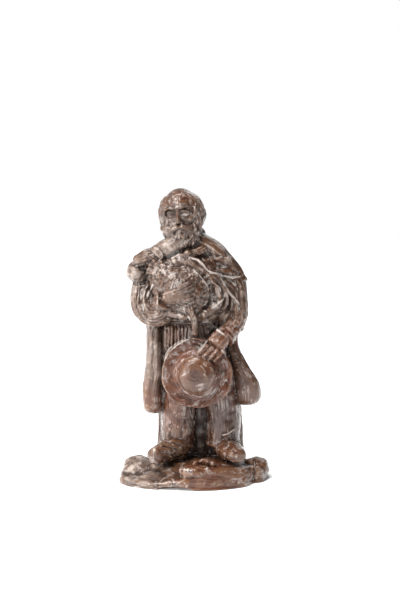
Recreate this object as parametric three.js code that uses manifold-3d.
// A terracotta figurine of an old peasant, modelled in clay and fired in one piece with its rocky base.
// He is bald and bearded, wears a wide cloak, holds a lamb on his right arm and his hat in his left hand.
// Millimetres, +Z up, the figure faces -Y, and +X is the figure's left. The origin is the underside's middle.
import * as THREE from "three";
import { mergeVertices } from "three/addons/utils/BufferGeometryUtils.js";
import Module from "manifold-3d";

// Heights above the table
const GROUND = 17;
const TROUSER_HEM = 26;
const FLAP_HEM = 55;
const HAT_MIDDLE = 89;
const BELT = 129;
const ELBOW = 138;
const SHOULDER = 166;
const NECK = 190;
const HEAD_MIDDLE = 213;

// Widths, depths and radii
const BASE_HALF_WIDTH = 61;
const BASE_HALF_DEPTH = 42;
const HAT_RADIUS = 27.5;
const HAT_CROWN_RADIUS = 14.5;
const HAT_CROWN_RISE = 15;
const HAT_THICKNESS = 2.6;
const TROUSER_RADIUS = 13.5;
const SHOULDER_HALF_WIDTH = 40;
const FINGER_RADIUS = 1.7;
const LAMB_LEG_RADIUS = 3;
const SKULL = { halfWidth: 15.5, halfDepth: 17.5, halfHeight: 19 };

// Leans and turns, in degrees
const HAT_LEAN = 2;
const HEAD_ROLL = -7;
const HEAD_TURN = -9;

const wasm = await Module();
wasm.setup();

const { PI, cos, sin, sqrt, max, min, abs, exp } = Math;
const BACKWARD = new THREE.Vector3(0, 1, 0);
const UPWARD = new THREE.Vector3(0, 0, 1);
const flat = () => 0;

// A soft bump that is 1 at the middle and fades over the given width.
const bump = (value, middle, width) => exp(-(((value - middle) / width) ** 2));

// A closed skin: rows of rings between two poles. point(u, v) gives the place for u along and v round.
function skin(point, along, sides) {
  const positions = [];
  const faces = [];
  const place = (p) => positions.push(p.x, p.y, p.z);
  place(point(along[0], 0));
  const rings = along.slice(1, -1);
  for (const u of rings) for (let k = 0; k < sides; k++) place(point(u, (2 * PI * k) / sides));
  place(point(along.at(-1), 0));
  const at = (row, k) => 1 + row * sides + (k % sides);
  const last = 1 + rings.length * sides;
  for (let k = 0; k < sides; k++) {
    faces.push(0, at(0, k + 1), at(0, k));
    faces.push(last, at(rings.length - 1, k), at(rings.length - 1, k + 1));
    for (let row = 0; row + 1 < rings.length; row++) {
      const [a, b, c, d] = [at(row, k), at(row, k + 1), at(row + 1, k), at(row + 1, k + 1)];
      faces.push(a, b, c, b, d, c);
    }
  }
  const geometry = new THREE.BufferGeometry();
  geometry.setAttribute("position", new THREE.Float32BufferAttribute(positions, 3));
  return geometry.setIndex(faces);
}

// Evenly spaced rows with a rounded end at either side, for a skin whose ends close over a share of it.
function roundedRows(rows, cap, capRows) {
  const start = Array.from({ length: capRows }, (_, k) => cap * (1 - cos((k / capRows) * (PI / 2))));
  const middle = Array.from({ length: rows + 1 }, (_, k) => cap + ((1 - 2 * cap) * k) / rows);
  return [...start, ...middle, ...start.map((u) => 1 - u).reverse()];
}

// A smooth curve through triples of numbers, closed on itself for a rim.
function curveThrough(points, closed = false) {
  return new THREE.CatmullRomCurve3(points.map((p) => new THREE.Vector3(...p)), closed, "catmullrom");
}

// A lofted limb or garment. Stations are [x, y, z, half width, half depth, turn in degrees] along a smooth
// path; the section is an ellipse, level or square to the path, and relief(u, v) adds folds in millimetres.
function loft(stations, options = {}) {
  const { sides = 14, rows = 10, cap = 0.12, capRows = 3 } = options;
  const { facing = BACKWARD, level = false, relief = flat } = options;
  const path = curveThrough(stations.map(([x, y, z]) => [x, y, z]));
  const girth = curveThrough(stations.map(([, , , width, depth, turn = 0]) => [width, depth, turn]));
  const point = (u, v) => {
    const along = level ? UPWARD : path.getTangent(u);
    const [centre, size] = [path.getPoint(u), girth.getPoint(u)];
    const across = new THREE.Vector3().crossVectors(facing, along).normalize();
    const through = new THREE.Vector3().crossVectors(along, across).normalize();
    const angle = v + THREE.MathUtils.degToRad(size.z);
    const edge = min(1, u / cap, (1 - u) / cap);
    const close = sqrt(max(0, 1 - (1 - edge) ** 2));
    const fold = relief(u, v);
    const [width, depth] = [(size.x + fold) * close, (size.y + fold) * close];
    const [c, s] = [cos(angle - v), sin(angle - v)];
    const [w, d] = [width * cos(v), depth * sin(v)];
    return centre.addScaledVector(across, w * c - d * s).addScaledVector(through, w * s + d * c);
  };
  return skin(point, roundedRows(rows, cap, capRows), sides);
}

// An egg or ball of clay, squashed and turned.
function lump(x, y, z, halfWidth, halfDepth, halfHeight, { sides = 12, rows = 8, tilt = [0, 0, 0] } = {}) {
  return new THREE.SphereGeometry(1, sides, rows)
    .rotateX(PI / 2)
    .scale(halfWidth, halfDepth, halfHeight)
    .rotateX(THREE.MathUtils.degToRad(tilt[0]))
    .rotateY(THREE.MathUtils.degToRad(tilt[1]))
    .rotateZ(THREE.MathUtils.degToRad(tilt[2]))
    .translate(x, y, z);
}

// A geometry as a solid, with its shared vertices merged and its faces pointing out.
function solid(geometry) {
  const bare = geometry.clone().deleteAttribute("normal").deleteAttribute("uv");
  const merged = mergeVertices(bare, 1e-4);
  const vertProperties = merged.attributes.position.array;
  const make = (faces) =>
    new wasm.Manifold(new wasm.Mesh({ numProp: 3, vertProperties, triVerts: new Uint32Array(faces) }));
  const made = make(merged.index.array);
  return made.volume() > 0 ? made : make(Array.from(merged.index.array).reverse());
}

const joined = (geometries) => geometries.map(solid).reduce((all, next) => all.add(next));

// Base: a slab of rock with a steep broken front and a trodden top. Rim points are [x, y, height].
function rockBase() {
  const rim = [
    [-61, -8, 8],
    [-55, -25, 7],
    [-37, -36, 7],
    [-15, -40, 9],
    [-3, -41, 14],
    [18, -39, 16.5],
    [38, -30, 16],
    [46, -19, 14.5],
    [55, -13, 12],
    [61, 6, 10],
    [50, 27, 10],
    [22, 40, 12],
    [-14, 42, 12],
    [-44, 31, 11],
    [-57, 12, 9],
  ];
  const outline = curveThrough(rim, true);
  // Rows are [reach, share of height], from the underside's middle out to the foot, up the broken side
  // and in over the top.
  const profile = [
    [0, 0],
    [0.96, 0],
    [1, 0.2],
    [0.99, 0.55],
    [0.96, 0.86],
    [0.9, 1],
    [0.72, 1.14],
    [0.45, 1.3],
    [0, 1.34],
  ];
  const point = (row, v) => {
    const edge = outline.getPoint((v / (2 * PI)) % 1);
    const [reach, share] = profile[row];
    const height = share <= 1 ? share * edge.z : THREE.MathUtils.lerp(edge.z, GROUND, (share - 1) / 0.34);
    const lip = reach > 0.6 && share > 0 ? 0.9 * sin(7 * v + 3 * row) + 0.7 * sin(11 * v - 2 * row) : 0;
    const scale = min(reach * (1 + lip / 60), 1);
    const bumpy = share > 1 && reach > 0 ? 0.7 * sin(9 * v + 5 * row) : 0;
    return new THREE.Vector3(edge.x * scale, edge.y * scale, height + bumpy);
  };
  const slab = skin(point, profile.map((_, row) => row), 32);
  slab.computeBoundingBox();
  const middle = slab.boundingBox.getCenter(new THREE.Vector3());
  const size = slab.boundingBox.getSize(new THREE.Vector3());
  const [wider, deeper] = [(2 * BASE_HALF_WIDTH) / size.x, (2 * BASE_HALF_DEPTH) / size.y];
  return slab.translate(-middle.x, -middle.y, 0).scale(wider, deeper, 1);
}

// The hollow under the front rim, where the slab doesn't touch the table.
const rimHollow = () => lump(-16, -41, 0, 15, 9, 3.2, { sides: 14, rows: 8 });

function shoes() {
  const right = [
    [-6, 5, 25, 6.5, 7.5],
    [-13, -3, 25.5, 8, 9],
    [-21, -12, 23.5, 7.5, 7],
    [-27, -19, 22.5, 7, 6],
    [-31.5, -26, 22.5, 6, 6],
  ];
  const left = [
    [19, 6, 25, 6.5, 7.5],
    [24, -3, 25.5, 8, 9],
    [29, -12, 23.5, 8.5, 7],
    [33, -20, 22, 8.6, 6],
    [35.5, -27, 21.5, 7, 5.8],
  ];
  const style = { facing: UPWARD, sides: 12, rows: 4, cap: 0.16, capRows: 2 };
  return [loft(right, style), loft(left, style)];
}

function trousers() {
  const creases = (u, v) => 0.9 * cos(4 * v + 2 * u) + 0.9 * bump(u, 0.85, 0.1);
  const leg = (hip, knee, ankle) => [
    [hip, 5, HAT_MIDDLE + 4, TROUSER_RADIUS + 1, TROUSER_RADIUS + 1.5],
    [knee, 4, FLAP_HEM - 3, TROUSER_RADIUS + 0.3, TROUSER_RADIUS + 0.5],
    [knee, 3, TROUSER_HEM + 13, TROUSER_RADIUS, TROUSER_RADIUS],
    [ankle, 3, TROUSER_HEM - 1, TROUSER_RADIUS - 1.5, TROUSER_RADIUS - 1],
  ];
  const style = { sides: 12, rows: 5, cap: 0.08, capRows: 1, relief: creases };
  return [loft(leg(-11, -13.5, -14.5), style), loft(leg(18, 23, 22.5), style)];
}

function jacket() {
  const body = loft(
    [
      [4, 5, HAT_MIDDLE - 14, 24, 14],
      [2, 4, HAT_MIDDLE + 4, 28, 18],
      [0, 3, HAT_MIDDLE + 22, 28, 19],
      [-2, 3, BELT, 25, 17.5],
      [-3, 3, ELBOW + 10, 30, 19],
      [-4, 4, SHOULDER, 33, 18],
      [-5, 4, SHOULDER + 12, 27, 15],
      [-7, 3, NECK, 12, 11],
    ],
    { sides: 12, rows: 6, cap: 0.06, capRows: 1, level: true },
  );
  const belt = loft(
    [
      [-2, 2.6, BELT - 4, 26.5, 19],
      [-2, 2.6, BELT + 3, 26.5, 19],
    ],
    { sides: 16, rows: 1, cap: 0.3, capRows: 1, level: true },
  );
  // Gathers in the skirt of the jacket, below the belt
  const gathers = Array.from({ length: 5 }, (_, k) => {
    const x = -20 + 4.6 * k;
    const y = 3.5 - 19 * sqrt(1 - ((x + 2) / 27) ** 2);
    return loft(
      [
        [x, y + 1, BELT - 4, 1.7, 1.9],
        [x - 0.5, y - 0.6, BELT - 12, 1.8, 1.9],
        [x - 0.8, y - 0.4, BELT - 21, 1.4, 1.5],
      ],
      { sides: 5, rows: 2, cap: 0.12, capRows: 1 },
    );
  });
  return [body, belt, ...gathers];
}

// The cloak: its back with deep folds, down to the rock behind the legs, and a loose flap at either side.
function cloak() {
  const folds = (u, v) => 1.7 * cos(5 * v + 1.5 * sin(4 * u)) * (1 - 0.7 * u);
  const back = loft(
    [
      [4, 20, GROUND - 8, 37, 13],
      [4, 19, TROUSER_HEM + 2, 34.5, 11],
      [3.5, 18, FLAP_HEM, 33, 13],
      [1, 16, HAT_MIDDLE, 34, 17],
      [-2, 14, BELT - 8, 34, 20],
      [-3, 12, ELBOW + 8, 36, 20],
      [-6, 8, SHOULDER, SHOULDER_HALF_WIDTH, 19],
      [-10, 6, SHOULDER + 13, 29, 15],
      [-8, 4, NECK - 3, 18, 11],
      [-7, 3, NECK + 5, 12, 10],
    ],
    { sides: 26, rows: 11, cap: 0.04, capRows: 1, level: true, relief: folds },
  );
  const rightFlap = loft(
    [
      [-32, 6, BELT, 7, 14, 0],
      [-32.5, 5, BELT - 15, 6.8, 14, 6],
      [-33.5, 4, HAT_MIDDLE, 7.2, 15, 12],
      [-35.5, 2, FLAP_HEM + 16, 7.6, 14, 12],
      [-36, 0, FLAP_HEM - 1.5, 7.2, 11, 8],
    ],
    { sides: 12, rows: 6, cap: 0.1, capRows: 2, relief: (u, v) => 0.7 * cos(4 * v + 2 * u) },
  );
  const leftFlap = loft(
    [
      [31, 8, SHOULDER + 3, 8, 13, 0],
      [33.5, 8, ELBOW + 8, 8.5, 15, 0],
      [31, 7, BELT, 7, 15, 0],
      [29.5, 6, BELT - 13, 5, 14, 0],
      [30.5, 5, BELT - 26, 5.5, 14, 0],
      [35, 3, HAT_MIDDLE - 3, 8, 14, -8],
      [40, 2, FLAP_HEM + 16, 11, 13, -14],
      [41, 1, FLAP_HEM + 1, 10, 10, -14],
    ],
    { sides: 12, rows: 9, cap: 0.07, capRows: 2, relief: (u, v) => 0.8 * cos(4 * v + 3 * u) },
  );
  return [back, rightFlap, leftFlap];
}

// The cape of the cloak, wide over the left shoulder and short on the right. Hem rows are [reach, height]
// round the neck from +X towards the back.
function cape() {
  const hem = [
    [46, 161],
    [39, 157],
    [31, 155],
    [33, 158],
    [36, 169],
    [24, 178],
    [21, 176],
    [31, 165],
  ];
  const edge = curveThrough(hem.map(([reach, height]) => [reach, height, 0]), true);
  // Rows are [share of reach, share of drop, thickness], from the neck over the cloth, round its edge and
  // back beneath it.
  const profile = [
    [0, 0, 0],
    [0.35, 0.2, 0],
    [0.6, 0.44, 0],
    [0.85, 0.76, 0],
    [1, 1, 0],
    [0.98, 1, -2.4],
    [0.7, 0.9, -5],
    [0, 0.6, -12],
  ];
  const point = (row, v) => {
    const { x: reach, y: height } = edge.getPoint((v / (2 * PI)) % 1);
    const [out, drop, below] = profile[row];
    const wave = out > 0.4 ? 1.3 * sin(6 * v + 1) * out : 0;
    const radius = out * (reach + wave);
    const top = NECK + 3;
    const z = top - drop * (top - height) + below;
    return new THREE.Vector3(-6 + radius * cos(v), 3 + 0.92 * radius * sin(v), z);
  };
  return skin(point, profile.map((_, row) => row), 24);
}

// Swelling folds of the cloak across the chest, between the lamb and the left arm, and the knotted kerchief.
function chestFolds() {
  const folds = [0, 1, 2].map((k) =>
    loft(
      [
        [2 + 4 * k, -14 + k, SHOULDER + 8 - 2 * k, 2.4, 2.2],
        [15 + 4 * k, -17 + 2 * k, SHOULDER - 1 - 2 * k, 3, 2.6],
        [22.5 + 3.4 * k, -16 + 3 * k, SHOULDER - 14, 2.8, 2.6],
        [23 + 2.4 * k, -16 + 2.4 * k, BELT + 8, 2, 2],
      ],
      { sides: 6, rows: 4, cap: 0.08, capRows: 1 },
    ),
  );
  const knot = lump(-4, -15, NECK - 11, 4, 3.4, 3.2, { sides: 8, rows: 6 });
  const kerchief = [-1, 1].map((side) =>
    loft(
      [
        [-4 + 2 * side, -15, NECK - 11, 2.4, 2.2],
        [-6 + 11 * side, -12, NECK - 6 + side, 3, 2.4],
        [-7 + 15 * side, -2, NECK, 3.4, 2.6],
      ],
      { sides: 6, rows: 2, cap: 0.1, capRows: 1, facing: UPWARD },
    ),
  );
  return [...folds, knot, ...kerchief];
}

function rightArm() {
  const sleeve = loft(
    [
      [-37, 6, SHOULDER + 15, 10, 10],
      [-41, 5, SHOULDER - 1, 11.5, 13],
      [-39, 3, SHOULDER - 15, 12, 13],
      [-36.5, -1, ELBOW - 1, 13.5, 12.5],
      [-29, -12, ELBOW - 2, 12.5, 12],
      [-22.5, -20, ELBOW + 4, 10, 10],
      [-19, -25, ELBOW + 8, 9, 9],
    ],
    { sides: 14, rows: 8, cap: 0.1, capRows: 2, relief: (u, v) => 1.1 * cos(5 * v + 4 * u) * sin(PI * u) },
  );
  const cuff = loft(
    [
      [-22, -22, ELBOW + 7, 8.5, 9.5],
      [-17.5, -27, ELBOW + 10, 7.8, 8.8],
    ],
    { sides: 10, rows: 1, cap: 0.25, capRows: 1 },
  );
  const palm = loft(
    [
      [-19.5, -26.5, ELBOW + 9.5, 5.5, 5.5],
      [-13, -32.5, ELBOW + 14, 5.5, 8],
      [-7, -35, ELBOW + 20.5, 4.5, 8.5],
    ],
    { sides: 8, rows: 3, cap: 0.15, capRows: 1, facing: UPWARD },
  );
  const fingers = [0, 1, 2, 3].map((k) => {
    const knuckle = new THREE.Vector3(-12.5 + 1.4 * k, -36, ELBOW + 21.5 - 4 * k);
    const reach = 11.5 - 1.1 * abs(k - 1.2);
    return finger(knuckle, new THREE.Vector3(0.8, 0.02 * k, 0.6 - 0.06 * k), reach);
  });
  const thumb = finger(new THREE.Vector3(-18, -33, ELBOW + 15), new THREE.Vector3(0.25, -0.1, 0.97), 11);
  return [sleeve, cuff, palm, ...fingers, thumb];
}

// A finger from its knuckle, bent a little at the middle joint.
function finger(knuckle, direction, reach, bend = 1) {
  const way = direction.clone().normalize();
  const middle = knuckle.clone().addScaledVector(way, reach * 0.5);
  const tip = knuckle.clone().addScaledVector(way, reach);
  const size = FINGER_RADIUS;
  return loft(
    [
      [knuckle.x, knuckle.y + 1.2, knuckle.z, size * 1.05, size * 1.05],
      [middle.x, middle.y - 0.4 * bend, middle.z, size, size],
      [tip.x, tip.y + 1.2 * bend, tip.z, size * 0.8, size * 0.8],
    ],
    { sides: 6, rows: 2, cap: 0.14, capRows: 1, facing: abs(way.y) > 0.8 ? UPWARD : BACKWARD },
  );
}

function leftArm() {
  const sleeve = loft(
    [
      [29, 2, SHOULDER - 3, 9, 11],
      [32, -1, ELBOW + 10, 9, 11],
      [32, -6, BELT + 3, 9.5, 10],
      [28, -13, BELT - 6, 8.5, 8],
      [24, -19, BELT - 11, 7, 6.5],
    ],
    { sides: 12, rows: 8, cap: 0.1, capRows: 2, relief: (u, v) => 0.9 * cos(4 * v + 14 * u) * sin(PI * u) },
  );
  const cuff = loft(
    [
      [26.5, -16.5, BELT - 8.5, 8.2, 7.8],
      [22.5, -20.5, BELT - 12.5, 7.8, 7.2],
    ],
    { sides: 10, rows: 1, cap: 0.25, capRows: 1 },
  );
  const palm = loft(
    [
      [23, -20, BELT - 12, 5.5, 5],
      [17.5, -26, BELT - 17, 7.5, 4.5],
      [13.5, -29.5, BELT - 22, 7.8, 3.4],
    ],
    { sides: 8, rows: 3, cap: 0.15, capRows: 1 },
  );
  const fingers = [0, 1, 2, 3].map((k) => {
    const knuckle = new THREE.Vector3(7.5 + 3.9 * k, -31.5 + 0.4 * k, BELT - 21 - 0.9 * abs(k - 1));
    return finger(knuckle, new THREE.Vector3(-0.42 + 0.14 * k, -0.1, -0.9), 10.5 - 0.9 * abs(k - 1.3));
  });
  return [sleeve, cuff, palm, ...fingers];
}

// The hat, held flat against the body: a dished brim and a round crown from one turned profile, leaned back.
function hat() {
  const [brim, crown] = [HAT_RADIUS, HAT_CROWN_RADIUS];
  const profile = [
    [0, -16],
    [brim * 0.5, -15],
    [brim * 0.84, -9],
    [brim * 0.95, -HAT_THICKNESS],
    [brim, 0],
    [brim - 1.6, 1],
    [brim * 0.75, -0.4],
    [crown + 2.2, 0],
    [crown + 0.4, 1.2],
    [crown, 3.4],
    [crown * 0.97, HAT_CROWN_RISE * 0.5],
    [crown * 0.8, HAT_CROWN_RISE * 0.82],
    [crown * 0.45, HAT_CROWN_RISE * 0.97],
    [0, HAT_CROWN_RISE],
  ];
  const lean = THREE.MathUtils.degToRad(HAT_LEAN);
  const point = (row, v) => {
    const [reach, rise] = profile[row];
    const rim = max(0, reach - crown) / (brim - crown);
    const wave = rim * (1.1 * cos(2 * v + 0.6) + 0.6 * cos(3 * v + 2));
    const round = reach * (1 + rim * 0.018 * cos(3 * v + 1.2));
    return new THREE.Vector3(round * cos(v), -(rise + wave), round * sin(v) * (1 + 0.05 * (1 - rim)));
  };
  return skin(point, profile.map((_, row) => row), 20).rotateX(-lean).translate(1.6, -25, HAT_MIDDLE);
}

function lamb() {
  const curls = (u, v) => 0.9 * sin(5 * v) * sin(26 * u);
  const body = loft(
    [
      [17, -17, 151, 10, 13],
      [9, -19, 152, 13, 17.5],
      [-3, -20, 153.5, 14, 19],
      [-14, -18, 156, 13, 16],
      [-23, -13, 163, 10, 11],
      [-30, -9, 172, 7.5, 8],
      [-31, -8, 180, 6.5, 6.5],
    ],
    { sides: 14, rows: 10, cap: 0.1, capRows: 2, facing: UPWARD, relief: curls },
  );
  const head = loft(
    [
      [-27, -7, 179, 6, 6.5],
      [-33.5, -9, 179.5, 6.8, 6.6],
      [-41, -11.5, 177.5, 5.4, 5.2],
      [-47.5, -13, 174.5, 3.6, 3.6],
    ],
    { sides: 10, rows: 4, cap: 0.16, capRows: 2, facing: UPWARD },
  );
  const ear = loft(
    [
      [-31.5, -14, 184.5, 2.4, 1.4],
      [-28.5, -16, 179.5, 3, 1.4],
      [-27, -16, 174, 1.4, 1],
    ],
    { sides: 6, rows: 2, cap: 0.14, capRows: 1 },
  );
  const limb = (stations) => loft(stations, { sides: 7, rows: 4, cap: 0.1, capRows: 1 });
  const hanging = limb([
    [-1, -30, 148, 5.5, 5],
    [1, -32, 137, LAMB_LEG_RADIUS + 1, LAMB_LEG_RADIUS + 1],
    [3, -30, 125, LAMB_LEG_RADIUS, LAMB_LEG_RADIUS],
    [4.5, -27, 112, LAMB_LEG_RADIUS, LAMB_LEG_RADIUS],
  ]);
  const folded = loft(
    [
      [-20, -23.5, 139, 5.6, 5.6],
      [-12, -29, 134.5, LAMB_LEG_RADIUS + 0.8, LAMB_LEG_RADIUS + 1],
      [-2, -31, 132.5, LAMB_LEG_RADIUS, LAMB_LEG_RADIUS],
    ],
    { sides: 7, rows: 3, cap: 0.1, capRows: 1, facing: UPWARD },
  );
  const hind = loft(
    [
      [19, -23, 144, 4.5, 5],
      [13, -28, 139, LAMB_LEG_RADIUS + 0.4, LAMB_LEG_RADIUS + 0.4],
      [7.5, -30, 135, LAMB_LEG_RADIUS - 0.5, LAMB_LEG_RADIUS - 0.5],
    ],
    { sides: 7, rows: 3, cap: 0.1, capRows: 1, facing: UPWARD },
  );
  return [body, head, ear, hanging, folded, hind];
}

// The head is modelled upright round its own middle, then rolled, turned and set on the neck.
function head() {
  const { halfWidth, halfDepth, halfHeight } = SKULL;
  const skull = lump(0, 0, 0, halfWidth, halfDepth, halfHeight, { sides: 14, rows: 9 });
  const jaw = lump(0, -6, -9, halfWidth * 0.8, halfDepth * 0.62, halfHeight * 0.68, { sides: 10, rows: 6 });
  const nose = loft(
    [
      [0, -15.5, 1, 1.5, 1.8],
      [0, -18, -3.5, 1.9, 2],
      [0, -19.5, -7.5, 2.8, 2.4],
    ],
    { sides: 7, rows: 2, cap: 0.2, capRows: 1 },
  );
  const pairs = [-1, 1].flatMap((side) => [
    lump(5.6 * side, -15.2, 3.6, 5, 2.2, 1.5, { sides: 8, rows: 5, tilt: [0, 4 * side, 18 * side] }),
    lump(5.6 * side, -14.2, 0, 2.8, 2.2, 1.9, { sides: 8, rows: 5 }),
    lump(8 * side, -11.6, -6, 4.4, 4, 3.6, { sides: 8, rows: 5 }),
    lump(15.2 * side, 1, -2.5, 2.2, 3.2, 4.6, { sides: 7, rows: 5 }),
    loft(
      [
        [0.6 * side, -17.8, -10, 2, 1.8],
        [4.4 * side, -17.2, -11.6, 2.3, 2],
        [8 * side, -14, -16.5, 1.4, 1.3],
      ],
      { sides: 6, rows: 2, cap: 0.14, capRows: 1, facing: UPWARD },
    ),
  ]);
  const lip = lump(0, -16.4, -13.6, 3, 1.8, 1.1, { sides: 7, rows: 4 });
  // Locks of the beard hang from the cheeks and chin, longest in the middle.
  const locks = Array.from({ length: 9 }, (_, k) => {
    const angle = ((k - 4) / 4) * 1.4;
    const [x, y] = [12.6 * sin(angle), -4.5 - 11 * cos(angle)];
    const drop = 5 + 5 * cos(angle);
    return loft(
      [
        [x, y, -12 + 5 * (1 - cos(angle)), 3.2, 2.4],
        [x * 0.96, y - 1, -16.5 + 3 * (1 - cos(angle)), 3.4, 2.8],
        [x * 0.72, y + 1.4, -17 - drop, 1.4, 1.4],
      ],
      { sides: 5, rows: 2, cap: 0.14, capRows: 1 },
    );
  });
  const beard = lump(0, -6.5, -17, 12.5, 10, 8, { sides: 10, rows: 6 });
  const hair = lump(0.4, 4, -4, 18.4, 15, 12.5, { sides: 14, rows: 8 });
  const place = new THREE.Matrix4()
    .makeTranslation(-10.6, 1, HEAD_MIDDLE)
    .multiply(new THREE.Matrix4().makeRotationY(THREE.MathUtils.degToRad(HEAD_ROLL)))
    .multiply(new THREE.Matrix4().makeRotationZ(THREE.MathUtils.degToRad(HEAD_TURN)));
  const pieces = [skull, hair, jaw, nose, ...pairs, lip, beard, ...locks].map((g) => g.applyMatrix4(place));
  const neck = loft(
    [
      [-7, 4, NECK - 14, 13, 11],
      [-8, 2, NECK + 4, 11.5, 11],
      [-9, 1, NECK + 16, 10, 10],
    ],
    { sides: 10, rows: 2, cap: 0.1, capRows: 1 },
  );
  return [neck, ...pieces];
}

const whole = joined([
  rockBase(),
  ...shoes(),
  ...trousers(),
  ...jacket(),
  ...cloak(),
  cape(),
  ...chestFolds(),
  ...rightArm(),
  ...leftArm(),
  hat(),
  ...lamb(),
  ...head(),
]).subtract(solid(rimHollow()));

const made = whole.getMesh();
const geometry = new THREE.BufferGeometry();
geometry.setAttribute("position", new THREE.BufferAttribute(new Float32Array(made.vertProperties), 3));
geometry.setIndex(new THREE.BufferAttribute(made.triVerts, 1));
geometry.computeVertexNormals();

const terracotta = new THREE.MeshStandardMaterial({ color: 0x6b4232, roughness: 0.35, metalness: 0 });
const figurine = new THREE.Mesh(geometry, terracotta);
figurine.name = "peasant_figurine";

const group = new THREE.Group();
group.add(figurine);
export default group;
